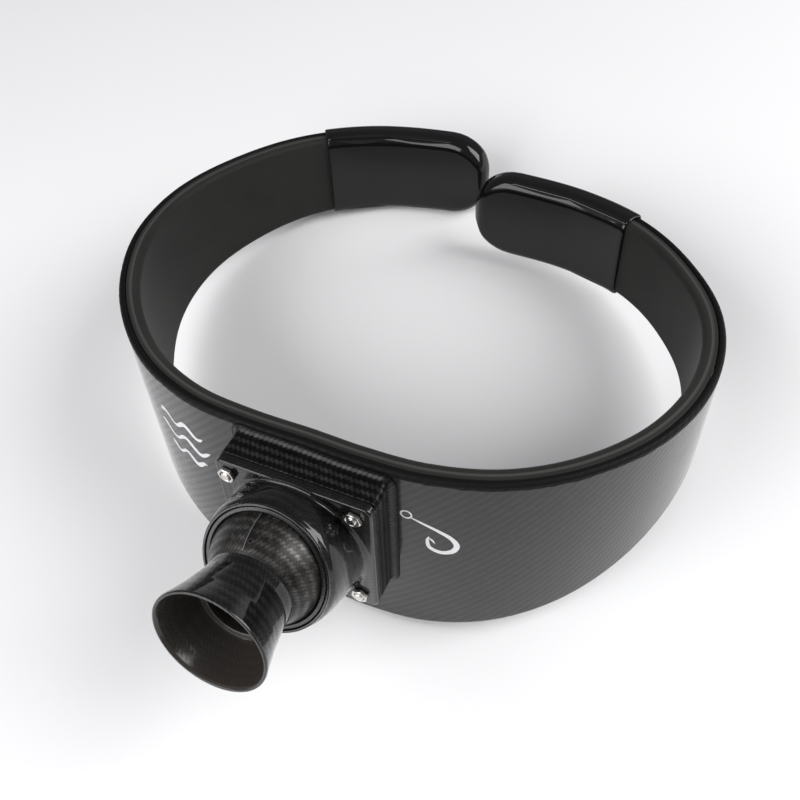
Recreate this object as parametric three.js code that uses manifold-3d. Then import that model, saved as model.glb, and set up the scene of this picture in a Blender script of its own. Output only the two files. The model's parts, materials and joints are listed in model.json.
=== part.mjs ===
// Fishing fighting belt: a springy C-shaped hoop with a deep front apron, a foam liner, two dipped
// end sleeves, and on the front a ball-and-socket rod cup bolted to a raised pad.
// Millimetres. The hoop is drawn with its top rim at height 0, front towards -Y, wearer's back
// towards +Y, and is then laid on its apron's lower edge and its ends, as it rests on a table.
import * as THREE from "three";
import { mergeVertices } from "three/addons/utils/BufferGeometryUtils.js";
import Module from "manifold-3d";

// Hoop
const hoopHalfWidth = 170;
const apronDepth = 126.8;
const shellWall = 3.6;
const linerWall = 7.6;
const seatGap = 0.3;
const linerRecess = 0.5;
const shellEdgeRound = 1.5;
const linerEdgeRound = 3.2;
const sleeveRound = { outer: shellEdgeRound, inner: shellEdgeRound, steps: 3 };
const stationStep = 4.4;

// How far the hoop's outside is from its middle at each turn from the front, as shares of
// hoopHalfWidth, and how deep the band is there, as shares of apronDepth, left and right
const hoopTable = [
  { turn: 0, left: 0.665, right: 0.665, leftDepth: 1.0, rightDepth: 1.0 },
  { turn: 15, left: 0.686, right: 0.694, leftDepth: 1.0, rightDepth: 1.0 },
  { turn: 30, left: 0.739, right: 0.759, leftDepth: 0.968, rightDepth: 0.968 },
  { turn: 45, left: 0.797, right: 0.835, leftDepth: 0.89, rightDepth: 0.9 },
  { turn: 60, left: 0.854, right: 0.904, leftDepth: 0.797, rightDepth: 0.797 },
  { turn: 75, left: 0.918, right: 0.964, leftDepth: 0.68, rightDepth: 0.65 },
  { turn: 90, left: 0.983, right: 0.999, leftDepth: 0.585, rightDepth: 0.515 },
  { turn: 105, left: 1.025, right: 1.0, leftDepth: 0.525, rightDepth: 0.44 },
  { turn: 120, left: 1.036, right: 0.962, leftDepth: 0.48, rightDepth: 0.41 },
  { turn: 135, left: 1.041, right: 0.918, leftDepth: 0.45, rightDepth: 0.403 },
  { turn: 150, left: 1.021, right: 0.856, leftDepth: 0.43, rightDepth: 0.405 },
  { turn: 165, left: 0.985, right: 0.8, leftDepth: 0.418, rightDepth: 0.41 },
  { turn: 180, left: 0.959, right: 0.771, leftDepth: 0.413, rightDepth: 0.413 },
];

// End sleeves, dipped over the hoop's two ends
const leftEndTurn = -179;
const rightEndTurn = 180;
const leftSleeveTurn = -140.5;
const rightSleeveTurn = 137.2;
const sleeveWall = 1.8;
const sleeveTipRound = 27;
const sleeveTipThin = 7;
const sleeveTipBlunt = 0.12;
const sleeveCorner = 4.6;
const bandShortOfTip = 4;

// How far along a rounded end its stations stand, as shares of its rounding,
// and the largest corners that a thin section takes, as shares of its size
const bandTipShares = [0, 0.05, 0.15, 0.3, 0.5, 0.75, 1];
const sleeveTipShares = [0, 0.02, 0.06, 0.13, 0.26, 0.45, 0.7, 1];
const cornerOfThickness = 0.48;
const cornerOfHeight = 0.45;
const tipCornerOfThickness = 0.4;

// Socket housing: a square flange plate with a tilted round socket
const plateAcross = 7;
const plateEdgeToStud = 7.1;
const plateThickness = 4.9;
const plateCorner = 6.5;
const plateBevel = 1;
const socketTilt = 25;
const ballRadius = 28.7;
const ballAhead = 24.8;
const ballClearance = 0.6;
const ringWall = 1.2;
const ringFront = 7.2;
const ringBack = 7.7;
const mouthWall = 1.3;
const mouthLip = 0.8;
const socketBulge = 5.7;
const footSpread = 2.7;
const footHeight = 3;
const domeLength = 21;
const plateShapeSteps = 4;
const socketSides = 48;

// The socket's outside behind its mouth: how far out, as shares of socketBulge,
// and how far back, as shares of domeLength
const domeTable = [
  { out: 0.3, back: 0.25 },
  { out: 0.46, back: 0.6 },
  { out: 0.5, back: 1.0 },
];

// Rod cup on the ball
const cupPitch = 12.8;
const cupNeckRadius = 21.4;
const cupNeckEnd = 25.8;
const cupMouthRadius = 27.5;
const cupLength = 51.7;
const cupWall = 1.8;
const cupLedge = 29.7;
const cupBoreRadius = 15.3;
const ballBoreStep = 0.5;
const buttFloor = 9.6;
const ballSides = 36;
const cupSides = 40;

// The flare between the neck's end and the mouth: how far out and how far forward, as shares
const cupFlare = { out: 0.42, forward: 0.5 };

// Pad between the hoop and the plate: a block as wide as the plate, with a fillet at the hoop
const padDepth = 15.25;
const padFillet = 3.85;
const padFilletStep = 30;
const padTopBelowRim = 1.55;

// Four studs with nuts
const nutClearOfSocket = 2;
const studRadius = 2.4;
const studClearance = 0.3;
const studInPad = 3.4;
const studAboveNut = 1;
const nutAcrossFlats = 8;
const nutHeight = 3.2;
const nutBevel = 0.5;
const studSides = 12;

// How far a cutting body runs past what it cuts, and the turn up to which the pad can lie
const cutOverrun = 1;
const padTurn = 60;

const rad = THREE.MathUtils.degToRad;
const wasm = await Module();
wasm.setup();

// Closed meshes as solids that can be joined and cut

function welded(geometry) {
  const bare = geometry.clone();
  for (const name of Object.keys(bare.attributes)) {
    if (name !== "position") bare.deleteAttribute(name);
  }
  const merged = mergeVertices(bare, 1e-4);
  const index = merged.index.array;
  const kept = [];
  for (let i = 0; i < index.length; i += 3) {
    const [a, b, c] = [index[i], index[i + 1], index[i + 2]];
    if (a !== b && b !== c && c !== a) kept.push(a, b, c);
  }
  merged.setIndex(kept);
  if (signedVolume(merged) < 0) {
    for (let i = 0; i < kept.length; i += 3) [kept[i], kept[i + 1]] = [kept[i + 1], kept[i]];
    merged.setIndex(kept);
  }
  return merged;
}

function signedVolume(geometry) {
  const place = geometry.attributes.position;
  const index = geometry.index.array;
  const [a, b, c] = [new THREE.Vector3(), new THREE.Vector3(), new THREE.Vector3()];
  let sum = 0;
  for (let i = 0; i < index.length; i += 3) {
    a.fromBufferAttribute(place, index[i]);
    b.fromBufferAttribute(place, index[i + 1]);
    c.fromBufferAttribute(place, index[i + 2]);
    sum += a.dot(b.cross(c)) / 6;
  }
  return sum;
}

function solid(geometry) {
  const shape = welded(geometry);
  return new wasm.Manifold(new wasm.Mesh({
    numProp: 3,
    vertProperties: Float32Array.from(shape.attributes.position.array),
    triVerts: Uint32Array.from(shape.index.array),
  }));
}

function geometryOf(body) {
  const mesh = body.getMesh();
  const geometry = new THREE.BufferGeometry();
  geometry.setAttribute("position", new THREE.BufferAttribute(Float32Array.from(mesh.vertProperties), 3));
  geometry.setIndex(Array.from(mesh.triVerts));
  geometry.computeVertexNormals();
  return geometry;
}

// Skins rings of points, one after another, and closes both ends with a fan
function loft(rings) {
  const count = rings[0].length;
  const middle = (ring) => ring.reduce((sum, p) => sum.add(p), new THREE.Vector3()).divideScalar(count);
  const points = rings.flat();
  const index = [];
  for (let r = 0; r + 1 < rings.length; r += 1) {
    for (let i = 0; i < count; i += 1) {
      const j = (i + 1) % count;
      const [a, b] = [r * count + i, r * count + j];
      index.push(a, b, a + count, b, b + count, a + count);
    }
  }
  const ends = [
    { ring: rings[0], start: 0, forwards: false },
    { ring: rings.at(-1), start: (rings.length - 1) * count, forwards: true },
  ];
  for (const { ring, start, forwards } of ends) {
    points.push(middle(ring));
    const hub = points.length - 1;
    for (let i = 0; i < count; i += 1) {
      const j = (i + 1) % count;
      index.push(hub, start + (forwards ? i : j), start + (forwards ? j : i));
    }
  }
  const geometry = new THREE.BufferGeometry().setFromPoints(points);
  geometry.setIndex(index);
  return welded(geometry);
}

// A body turned about +Y from a closed profile of [radius, along] pairs
function turned(profile, sides) {
  const points = profile.map(([radius, along]) => new THREE.Vector2(radius, along));
  return new THREE.LatheGeometry([...points, points[0]], sides);
}

function arc(radius, from, to, steps, at = [0, 0]) {
  return Array.from({ length: steps + 1 }, (_, i) => {
    const angle = rad(from + (to - from) * i / steps);
    return [at[0] + radius * Math.sin(angle), at[1] + radius * Math.cos(angle)];
  });
}

// Rounded rectangle as [across, up] pairs, each corner with its own radius,
// from the lower left one round to the upper left one
function roundedBox(left, right, low, high, radii, steps) {
  const [lowLeft, lowRight, highRight, highLeft] = radii;
  const corners = [
    { x: left + lowLeft, y: low + lowLeft, r: lowLeft, from: 180 },
    { x: right - lowRight, y: low + lowRight, r: lowRight, from: 270 },
    { x: right - highRight, y: high - highRight, r: highRight, from: 0 },
    { x: left + highLeft, y: high - highLeft, r: highLeft, from: 90 },
  ];
  return corners.flatMap(({ x, y, r, from }) =>
    Array.from({ length: steps + 1 }, (_, i) => {
      const angle = rad(from + 90 * i / steps);
      return [x + r * Math.cos(angle), y + r * Math.sin(angle)];
    }));
}

// The hoop's plan

// Smooth curve through rows of one column, level at its first row and free at its last
function column(rows, value) {
  const reach = rows.map(value);
  const slope = reach.map((_, i) => {
    const [before, after] = [Math.max(i - 1, 0), Math.min(i + 1, reach.length - 1)];
    return i === 0 ? 0 : (reach[after] - reach[before]) / (after - before);
  });
  return (turn) => {
    const at = Math.min(Math.abs(turn) / rows[1].turn, rows.length - 1);
    const i = Math.min(Math.floor(at), rows.length - 2);
    const t = at - i;
    const [t2, t3] = [t * t, t * t * t];
    return (2 * t3 - 3 * t2 + 1) * reach[i] + (t3 - 2 * t2 + t) * slope[i]
      + (3 * t2 - 2 * t3) * reach[i + 1] + (t3 - t2) * slope[i + 1];
  };
}

const leftReach = column(hoopTable, (row) => row.left * hoopHalfWidth);
const rightReach = column(hoopTable, (row) => row.right * hoopHalfWidth);
const leftDepth = column(hoopTable, (row) => row.leftDepth * apronDepth);
const rightDepth = column(hoopTable, (row) => row.rightDepth * apronDepth);
const bandDepth = (turn) => (turn < 0 ? leftDepth : rightDepth)(turn);

function outside(turn) {
  const reach = (turn < 0 ? leftReach : rightReach)(turn);
  return new THREE.Vector2(reach * Math.sin(rad(turn)), -reach * Math.cos(rad(turn)));
}

// A point set in from the hoop's outside, square to it, at a height below the rim
function onHoop(turn, inset, height) {
  const along = outside(turn + 0.5).sub(outside(turn - 0.5)).normalize();
  const at = outside(turn);
  return new THREE.Vector3(at.x - along.y * inset, at.y + along.x * inset, height);
}

const steps = (from, to, step) => {
  const count = Math.max(1, Math.round(Math.abs(to - from) / step));
  return Array.from({ length: count + 1 }, (_, i) => (i === count ? to : from + (to - from) * i / count));
};

// The turn that lies a given length along the hoop from one of its ends, towards the front
function turnFromEnd(endTurn, length) {
  const step = endTurn < 0 ? 0.25 : -0.25;
  let turn = endTurn;
  for (let run = 0; run < length; turn += step) run += outside(turn).distanceTo(outside(turn + step));
  return turn;
}

// Half the height of a rounded end at a length from its tip, as a share of the full half height
function endShare(past, round) {
  if (past >= round) return 1;
  return sleeveTipBlunt + (1 - sleeveTipBlunt) * Math.sqrt(1 - (1 - past / round) ** 2);
}

// Stations near one end of the hoop, each with its length past the band's own tip
const bandRound = sleeveTipRound - bandShortOfTip;
const nearEnd = (endTurn) => bandTipShares.map((share) => ({
  turn: turnFromEnd(endTurn, bandShortOfTip + share * bandRound),
  past: share * bandRound,
}));
const plainStations = (from, to) => steps(from, to, stationStep).slice(1)
  .map((turn) => ({ turn, past: Infinity }));
const leftStations = nearEnd(leftEndTurn);
const rightStations = nearEnd(rightEndTurn);
const bandStations = [
  ...leftStations,
  ...plainStations(leftStations.at(-1).turn, leftSleeveTurn),
  ...plainStations(leftSleeveTurn, 0),
  ...plainStations(0, rightSleeveTurn),
  ...plainStations(rightSleeveTurn, rightStations.at(-1).turn),
  ...rightStations.slice(0, -1).reverse(),
];

// The band's section at a station: set in between two insets, trimmed by a recess above and below
function bandRing({ turn, past }, outer, inner, recess, round) {
  const middle = -bandDepth(turn) / 2;
  const halfHigh = bandDepth(turn) / 2 * endShare(past, bandRound) - recess;
  const limit = Math.min(cornerOfHeight * 2 * halfHigh, cornerOfThickness * (inner - outer));
  const [outerRound, innerRound] = [Math.min(round.outer, limit), Math.min(round.inner, limit)];
  const section = roundedBox(outer, inner, middle - halfHigh, middle + halfHigh,
    [outerRound, innerRound, innerRound, outerRound], round.steps);
  return section.map(([inset, height]) => onHoop(turn, inset, height));
}

const linerOutside = shellWall + seatGap;
const bandThickness = linerOutside + linerWall;
const band = (outer, inner, recess, round) =>
  loft(bandStations.map((station) => bandRing(station, outer, inner, recess, round)));
const shell = band(0, shellWall, 0, { outer: shellEdgeRound, inner: shellEdgeRound, steps: 1 });
const liner = band(linerOutside, bandThickness, linerRecess,
  { outer: shellEdgeRound, inner: linerEdgeRound, steps: 2 });

// One section of a sleeve's skin, at a length past the sleeve's tip
function skinRing({ turn, past }) {
  const middle = -bandDepth(turn) / 2;
  const halfHigh = (bandDepth(turn) / 2 + sleeveWall) * endShare(past, sleeveTipRound);
  const halfThick = (bandThickness / 2 + sleeveWall) * endShare(past, sleeveTipThin);
  const corner = Math.min(sleeveCorner, tipCornerOfThickness * 2 * halfThick,
    cornerOfHeight * 2 * halfHigh);
  const section = roundedBox(bandThickness / 2 - halfThick, bandThickness / 2 + halfThick,
    middle - halfHigh, middle + halfHigh, Array(4).fill(corner), sleeveRound.steps);
  return section.map(([inset, height]) => onHoop(turn, inset, height));
}

function sleeve(endTurn, startTurn) {
  const side = Math.sign(endTurn);
  const covered = bandStations.filter(({ turn }) => turn * side >= startTurn * side);
  if (side > 0) covered.reverse();
  const tip = sleeveTipShares.map((share) => ({
    turn: turnFromEnd(endTurn, share * sleeveTipRound),
    past: share * sleeveTipRound,
  }));
  const skin = [...tip, ...covered.filter(({ past }) => past === Infinity)];
  const pocketEnd = { turn: turnFromEnd(endTurn, bandShortOfTip - seatGap), past: 0 };
  const pocket = [pocketEnd, ...covered].map((station) =>
    bandRing(station, -seatGap, bandThickness + seatGap, -seatGap, sleeveRound));
  return loft([...skin.map(skinRing), ...pocket.reverse()]);
}

// Pad, plate and socket

const padBack = -outside(0).y;
const plateBack = padBack + padDepth;
const plateFront = plateBack + plateThickness;

// The socket round the ball, and the studs just clear of its foot at the plate's corners
const seatRadius = ballRadius + ballClearance;
const ringOutside = seatRadius + ringWall;
const ringBore = ringOutside + seatGap;
const mouthRadius = ringBore + mouthWall;
const mouthFront = ringFront + mouthLip;
const ringLedge = ringBack + seatGap;
const domeRadius = mouthRadius + socketBulge / 2;
const footRadius = domeRadius + footSpread;
const footAcross = footRadius / Math.cos(rad(socketTilt));
const footCorner = Math.SQRT2 / Math.hypot(1 / footRadius, 1 / footAcross);
const nutCorner = nutAcrossFlats / 2 / Math.cos(Math.PI / 6);
const half = (footCorner + nutCorner + nutClearOfSocket) / Math.SQRT2;
const plateHalf = half + plateEdgeToStud;
const plateHeight = -padTopBelowRim - padFillet - plateHalf;

// Turns an outline drawn across and up, and pushed forwards, to face the front
const facingFront = (geometry, back) =>
  geometry.rotateX(Math.PI / 2).translate(plateAcross, -back, plateHeight);

function roundedShape(half, corner) {
  const points = roundedBox(-half, half, -half, half, Array(4).fill(corner), plateShapeSteps);
  return new THREE.Shape(points.map(([x, y]) => new THREE.Vector2(x, y)));
}

function plateBlank(half, from, to, bevel) {
  const geometry = new THREE.ExtrudeGeometry(roundedShape(half - bevel, plateCorner - bevel), {
    depth: to - from - 2 * bevel,
    bevelEnabled: bevel > 0,
    bevelThickness: bevel,
    bevelSize: bevel,
    bevelSegments: 1,
    curveSegments: plateShapeSteps,
  });
  return facingFront(geometry.translate(0, 0, bevel), from);
}

// A cylinder that points to the front at a place on the plate
function frontPin(radius, from, to, across, up, sides) {
  const geometry = new THREE.CylinderGeometry(radius, radius, to - from, sides);
  return geometry.translate(plateAcross + across, -(from + to) / 2, plateHeight + up);
}

const studs = [
  { name: "upper_left", across: -half, up: half },
  { name: "upper_right", across: half, up: half },
  { name: "lower_left", across: -half, up: -half },
  { name: "lower_right", across: half, up: -half },
];
const studFrom = plateBack - studInPad;
const studTo = plateFront + nutHeight + studAboveNut + seatGap;

function drilled(body) {
  return studs.reduce((rest, { across, up }) => rest.subtract(solid(frontPin(
    studRadius + studClearance, studFrom - seatGap, studTo + cutOverrun, across, up, studSides))), body);
}

// The ball's centre, on the socket's axis, which leaves the plate's front at its middle
const ballCentre = new THREE.Vector3(
  plateAcross,
  -plateFront - ballAhead * Math.cos(rad(socketTilt)),
  plateHeight + ballAhead * Math.sin(rad(socketTilt)),
);
const placed = (geometry, tilt) => geometry.rotateX(rad(180 - tilt)).translate(...ballCentre.toArray());

const sphereTurn = (along) => THREE.MathUtils.radToDeg(Math.acos(along / seatRadius));

function socketHollow() {
  return placed(turned([
    [0, mouthFront + cutOverrun],
    [ringBore, mouthFront + cutOverrun],
    [ringBore, -ringLedge],
    ...arc(seatRadius, sphereTurn(-ringLedge), 180, 7),
  ], socketSides), socketTilt);
}

function socketDome() {
  const reach = ballAhead + plateHalf * Math.tan(rad(socketTilt));
  return placed(turned([
    [0, mouthFront],
    [mouthRadius - mouthLip, mouthFront],
    [mouthRadius, mouthFront - mouthLip],
    ...domeTable.map(({ out, back }) => [mouthRadius + out * socketBulge, mouthFront - back * domeLength]),
    [domeRadius, -reach],
    [0, -reach],
  ], socketSides), socketTilt);
}

// A sloping foot round the socket, oval because the socket leaves the plate at a slant
function socketFoot() {
  const foot = new THREE.CylinderGeometry(footRadius, domeRadius, footHeight, socketSides);
  foot.scale(1, 1, 1 / Math.cos(rad(socketTilt)));
  return foot.translate(plateAcross, -plateFront - footHeight / 2, plateHeight);
}

// All that stands in front of the plate's back, within the plate's outline or twice as wide
const socketFront = plateFront + ballAhead + mouthFront + mouthRadius;
const overPlate = solid(plateBlank(plateHalf, plateBack, socketFront, 0));
const frontSpace = solid(plateBlank(2 * plateHalf, plateBack + plateBevel, socketFront, 0));
const hollow = solid(socketHollow());
const housing = drilled(
  solid(plateBlank(plateHalf, plateBack, plateFront, plateBevel))
    .add(solid(socketFoot()).intersect(overPlate))
    .add(solid(socketDome()).intersect(frontSpace))
    .subtract(hollow));

// The pad's outline at a depth behind the plate's back, spread a little wider than the plate
function padRing(depth, spread) {
  const size = plateHalf + spread;
  const corners = Array(4).fill(plateCorner + spread);
  const outline = roundedBox(-size, size, -size, size, corners, plateShapeSteps);
  return outline.map(([x, z]) => new THREE.Vector3(x + plateAcross, depth - plateBack, z + plateHeight));
}

// Everything within the hoop's outside and a seating gap, cut away from the pad's back
function hoopCore() {
  const turns = steps(-padTurn, padTurn, stationStep);
  const edge = turns.map((turn) => onHoop(turn, -seatGap, 0));
  const outline = new THREE.Shape([...edge.map((p) => new THREE.Vector2(p.x, p.y))]);
  const depth = apronDepth + 2 * cutOverrun;
  const core = new THREE.ExtrudeGeometry(outline, { depth, bevelEnabled: false });
  return core.translate(0, 0, cutOverrun - depth);
}

const padRings = [
  padRing(seatGap, 0),
  ...steps(0, 90, padFilletStep).map((angle) => padRing(
    padDepth - padFillet * (1 - Math.sin(rad(angle))), padFillet * (1 - Math.cos(rad(angle))))),
  padRing(2 * padDepth, padFillet),
];
const pad = drilled(solid(loft(padRings)).subtract(solid(hoopCore())).subtract(hollow));

// Seat ring, ball and cup, drawn about their own axes

const lip = sphereTurn(ringFront);
const seatRing = turned([
  [ringOutside, ringFront],
  [ringOutside, -ringBack],
  ...arc(seatRadius, sphereTurn(-ringBack), lip, 6),
], socketSides);

const ballBore = cupBoreRadius - ballBoreStep;
const boreTurn = THREE.MathUtils.radToDeg(Math.asin(ballBore / ballRadius));
const ball = turned([
  [0, buttFloor],
  [ballBore, buttFloor],
  ...arc(ballRadius, boreTurn, 180, 14),
], ballSides);

const cupSeat = ballRadius + seatGap;
const seatTurn = (radius) => THREE.MathUtils.radToDeg(Math.asin(radius / cupSeat));
const cupLip = cupWall / 3;
const ledgeRadius = cupNeckRadius - cupWall;
const rodCup = turned([
  ...arc(cupSeat, seatTurn(cupBoreRadius), seatTurn(cupNeckRadius), 3),
  [cupNeckRadius, cupNeckEnd],
  [cupNeckRadius + cupFlare.out * (cupMouthRadius - cupNeckRadius),
    cupNeckEnd + cupFlare.forward * (cupLength - cupNeckEnd)],
  [cupMouthRadius, cupLength - cupLip],
  [cupMouthRadius - cupLip, cupLength],
  [cupMouthRadius - 2 * cupLip, cupLength],
  [cupMouthRadius - cupWall, cupLength - cupLip],
  [ledgeRadius, cupLedge],
  [cupBoreRadius, cupLedge],
], cupSides);

// Studs and nuts

function stud({ across, up }) {
  return frontPin(studRadius, studFrom, studTo, across, up, studSides);
}

function nut({ across, up }) {
  const corner = (nutAcrossFlats / 2 - nutBevel) / Math.cos(Math.PI / 6);
  const hexagon = Array.from({ length: 6 }, (_, i) => {
    const angle = Math.PI * i / 3;
    return new THREE.Vector2(corner * Math.cos(angle), corner * Math.sin(angle));
  });
  const blank = new THREE.ExtrudeGeometry(new THREE.Shape(hexagon), {
    depth: nutHeight - 2 * nutBevel, bevelEnabled: true, bevelThickness: nutBevel, bevelSize: nutBevel,
    bevelSegments: 1,
  });
  const seat = plateFront + seatGap;
  const placedBlank = facingFront(blank.translate(0, 0, nutBevel), seat).translate(across, 0, up);
  const bore = frontPin(studRadius + studClearance, seat - cutOverrun, seat + nutHeight + cutOverrun,
    across, up, studSides);
  return geometryOf(solid(placedBlank).subtract(solid(bore)));
}

// Finishes

const finish = (color, roughness, metalness) => () =>
  new THREE.MeshStandardMaterial({ color, roughness, metalness });
const carbon = finish(0x1c1c1f, 0.2, 0.1);
const foam = finish(0x232522, 0.9, 0);
const rubber = finish(0x060607, 0.12, 0);
const plastic = finish(0x101012, 0.4, 0);
const steel = finish(0xb9b7b2, 0.25, 1);

function named(name, geometry, material) {
  const mesh = new THREE.Mesh(welded(geometry), material());
  mesh.name = name;
  mesh.geometry.computeVertexNormals();
  return mesh;
}

// The turning parts hang in groups at the ball's centre, with +Y along their own axes
function onBall(tilt, ...meshes) {
  const group = new THREE.Group();
  group.position.copy(ballCentre);
  group.rotation.x = rad(180 - tilt);
  group.add(...meshes);
  return group;
}

const hoop = new THREE.Group();
hoop.add(
  named("shell", shell, carbon),
  named("liner", liner, foam),
  named("end_sleeve_left", sleeve(leftEndTurn, leftSleeveTurn), rubber),
  named("end_sleeve_right", sleeve(rightEndTurn, rightSleeveTurn), rubber),
  named("mount_pad", geometryOf(pad), carbon),
  named("socket_housing", geometryOf(housing), carbon),
  ...studs.map((at) => named(`stud_${at.name}`, stud(at), steel)),
  ...studs.map((at) => named(`nut_${at.name}`, nut(at), steel)),
  onBall(socketTilt, named("seat_ring", seatRing, plastic)),
  onBall(cupPitch, named("ball", ball, carbon), named("rod_cup", rodCup, carbon)),
);

// Lays the hoop on its apron's lower edge and its ends, with the box's bottom middle at the origin

function corners(root) {
  const points = [];
  root.updateMatrixWorld(true);
  root.traverse((mesh) => {
    if (!mesh.isMesh) return;
    const place = mesh.geometry.attributes.position;
    for (let i = 0; i < place.count; i += 1) {
      points.push(new THREE.Vector3().fromBufferAttribute(place, i).applyMatrix4(mesh.matrixWorld));
    }
  });
  return points;
}

function restTilt(points) {
  const [front, back] = [points.filter((p) => p.y < 0), points.filter((p) => p.y >= 0)];
  const lowest = (side, tilt) => side.reduce(
    (low, p) => Math.min(low, p.z * Math.cos(tilt) - p.y * Math.sin(tilt)), Infinity);
  let [flat, steep] = [0, rad(60)];
  while (steep - flat > 1e-6) {
    const tilt = (flat + steep) / 2;
    if (lowest(front, tilt) < lowest(back, tilt)) flat = tilt;
    else steep = tilt;
  }
  return flat;
}

hoop.rotation.x = -restTilt(corners(hoop));
const box = new THREE.Box3().setFromPoints(corners(hoop));
hoop.position.set(-(box.min.x + box.max.x) / 2, -(box.min.y + box.max.y) / 2, -box.min.z);

const belt = new THREE.Group();
belt.add(hoop);
belt.updateMatrixWorld(true);

export default belt;
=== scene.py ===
import json
from math import acos, atan2, cos, pi, radians, sin

import bmesh
import bpy
import numpy as np
from mathutils import Matrix, Vector


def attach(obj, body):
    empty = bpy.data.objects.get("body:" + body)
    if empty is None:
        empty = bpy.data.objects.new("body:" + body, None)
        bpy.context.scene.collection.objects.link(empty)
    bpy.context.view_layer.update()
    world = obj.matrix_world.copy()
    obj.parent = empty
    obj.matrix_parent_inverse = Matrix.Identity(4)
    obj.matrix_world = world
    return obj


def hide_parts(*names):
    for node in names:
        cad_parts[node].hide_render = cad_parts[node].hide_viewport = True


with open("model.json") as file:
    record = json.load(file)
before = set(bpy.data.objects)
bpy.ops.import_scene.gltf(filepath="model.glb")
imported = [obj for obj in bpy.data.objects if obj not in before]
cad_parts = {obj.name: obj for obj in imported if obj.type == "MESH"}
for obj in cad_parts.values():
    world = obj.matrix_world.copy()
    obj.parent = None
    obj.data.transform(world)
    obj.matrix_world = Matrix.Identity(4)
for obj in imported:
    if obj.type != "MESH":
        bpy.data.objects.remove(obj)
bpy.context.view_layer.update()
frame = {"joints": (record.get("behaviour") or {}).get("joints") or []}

scene = bpy.context.scene

# Sizes of the belt, in millimetres, drawn with the rim at height 0 and the front towards -Y.
HALF_WIDTH = 170
APRON_DEPTH = 126.8
SHELL_WALL = 3.6
SHELL_ROUNDS = (1.7, 1.2, 1.2, 2.2)  # lower outside, lower inside, upper inside, upper outside
SEAT_GAP = 0.3
LINER_WALL = 7.6
LINER_RECESS = 0.5
LINER_ROUNDS = (0.8, 2.6, 3.2, 0.9)
LAYER_LINES = (1.7, 3.0)  # the foam's layer lines, from its outer face
LAYER_WIDE, LAYER_DEEP = 0.7, 0.35
ROUND_ROOM = 8  # roundings shrink where half the band's height is under this
LEFT_END, RIGHT_END = -179, 180  # turns from the front, in degrees
LEFT_SLEEVE, RIGHT_SLEEVE = -140.5, 137.2
SLEEVE_WALL = 1.8
SLEEVE_ROUND, SLEEVE_TOP_ROUND = 5.2, 7.6
SLEEVE_BEAD = (0.1, 0.35, 0.8)  # how far the sleeve's last rings draw in at its mouth
POCKET_ROUND = 1.2
TIP_ROUND = 27
TIP_THIN = 7
TIP_BLUNT = 0.12
BAND_SHORT = 4
ACROSS = 7  # the pad and all that stands on it lie this far right of the middle
PLATE_ROLL = -1.0
NUTS_ASIDE = -1.3
PAD_DEPTH = 15.25
PAD_FILLET = 3.85
PAD_BELOW = 1.55
PLATE_THICK = 4.9
PLATE_CORNER = 3.6
PLATE_HALF = 39.68
PLATE_BACK_ROUND = 0.7
PLATE_BEVEL = 1.1
STUD_OUT = 32.0
STUD_RADIUS, THREAD_ROOT = 2.4, 2.22
NUT_FLATS, NUT_TALL = 8.0, 2.1
SOCKET_TILT = 25
SOCKET_FILLET = 2.8
BALL_RADIUS = 28.7
BALL_AHEAD = 24.8
BORE_FLOOR = 9.6
SEAT_RADIUS = 29.0
RING_OUTSIDE = 30.5
RING_FRONT, RING_BACK = 7.6, 7.7
MOUTH_FRONT = 8.0
MOUTH_RADIUS = 32.1
LIP_BAND = 2.2
DOME_RADIUS = 34.95
DOME_LENGTH = 21
CUP_PITCH = 12.8
CUP_NECK = 21.4
CUP_MOUTH = 27.5
CUP_LENGTH = 51.7
CUP_LEDGE = 29.7
CUP_BORE = 15.3
TOW = 1.6  # width of one tow of the cloth on the moulded pieces
TWILL = 4  # tows in one repeat of the twill

# Shares of the half width and of the apron's depth, every TURN_STEP degrees from the front
TURN_STEP = 15
LEFT_REACH = [0.665, 0.686, 0.739, 0.797, 0.854, 0.918, 0.983, 1.025, 1.036, 1.041, 1.021, 0.985, 0.959]
RIGHT_REACH = [0.665, 0.694, 0.759, 0.835, 0.904, 0.964, 0.999, 1.0, 0.962, 0.918, 0.856, 0.8, 0.771]
LEFT_DEPTH = [1, 1, 0.968, 0.89, 0.797, 0.68, 0.585, 0.525, 0.48, 0.45, 0.43, 0.418, 0.413]
RIGHT_DEPTH = [1, 1, 0.968, 0.9, 0.797, 0.65, 0.515, 0.44, 0.41, 0.403, 0.405, 0.41, 0.413]


# The hoop's lines

def smooth_between(values, slope, place):
    """A smooth curve through values at the whole numbers, read at place."""
    i = np.minimum(place.astype(int), len(values) - 2)
    t = place - i
    return ((2 * t**3 - 3 * t**2 + 1) * values[i] + (t**3 - 2 * t**2 + t) * slope[i]
            + (3 * t**2 - 2 * t**3) * values[i + 1] + (t**3 - t**2) * slope[i + 1])


def smooth_column(shares, size):
    """A smooth curve through shares of a size, level at the front."""
    values = np.array(shares, float) * size
    slope = np.zeros_like(values)
    slope[1:-1] = (values[2:] - values[:-2]) / 2
    slope[-1] = values[-1] - values[-2]

    def at(turn):
        return smooth_between(values, slope, np.minimum(np.abs(turn) / TURN_STEP, len(values) - 1))

    return at


left_reach = smooth_column(LEFT_REACH, HALF_WIDTH)
right_reach = smooth_column(RIGHT_REACH, HALF_WIDTH)
left_depth = smooth_column(LEFT_DEPTH, APRON_DEPTH)
right_depth = smooth_column(RIGHT_DEPTH, APRON_DEPTH)


def outside(turn):
    """Points of the hoop's outer face, seen from above, at turns from the front."""
    turn = np.asarray(turn, float)
    reach = np.where(turn < 0, left_reach(turn), right_reach(turn))
    return np.stack([reach * np.sin(np.radians(turn)), -reach * np.cos(np.radians(turn))], -1)


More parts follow.
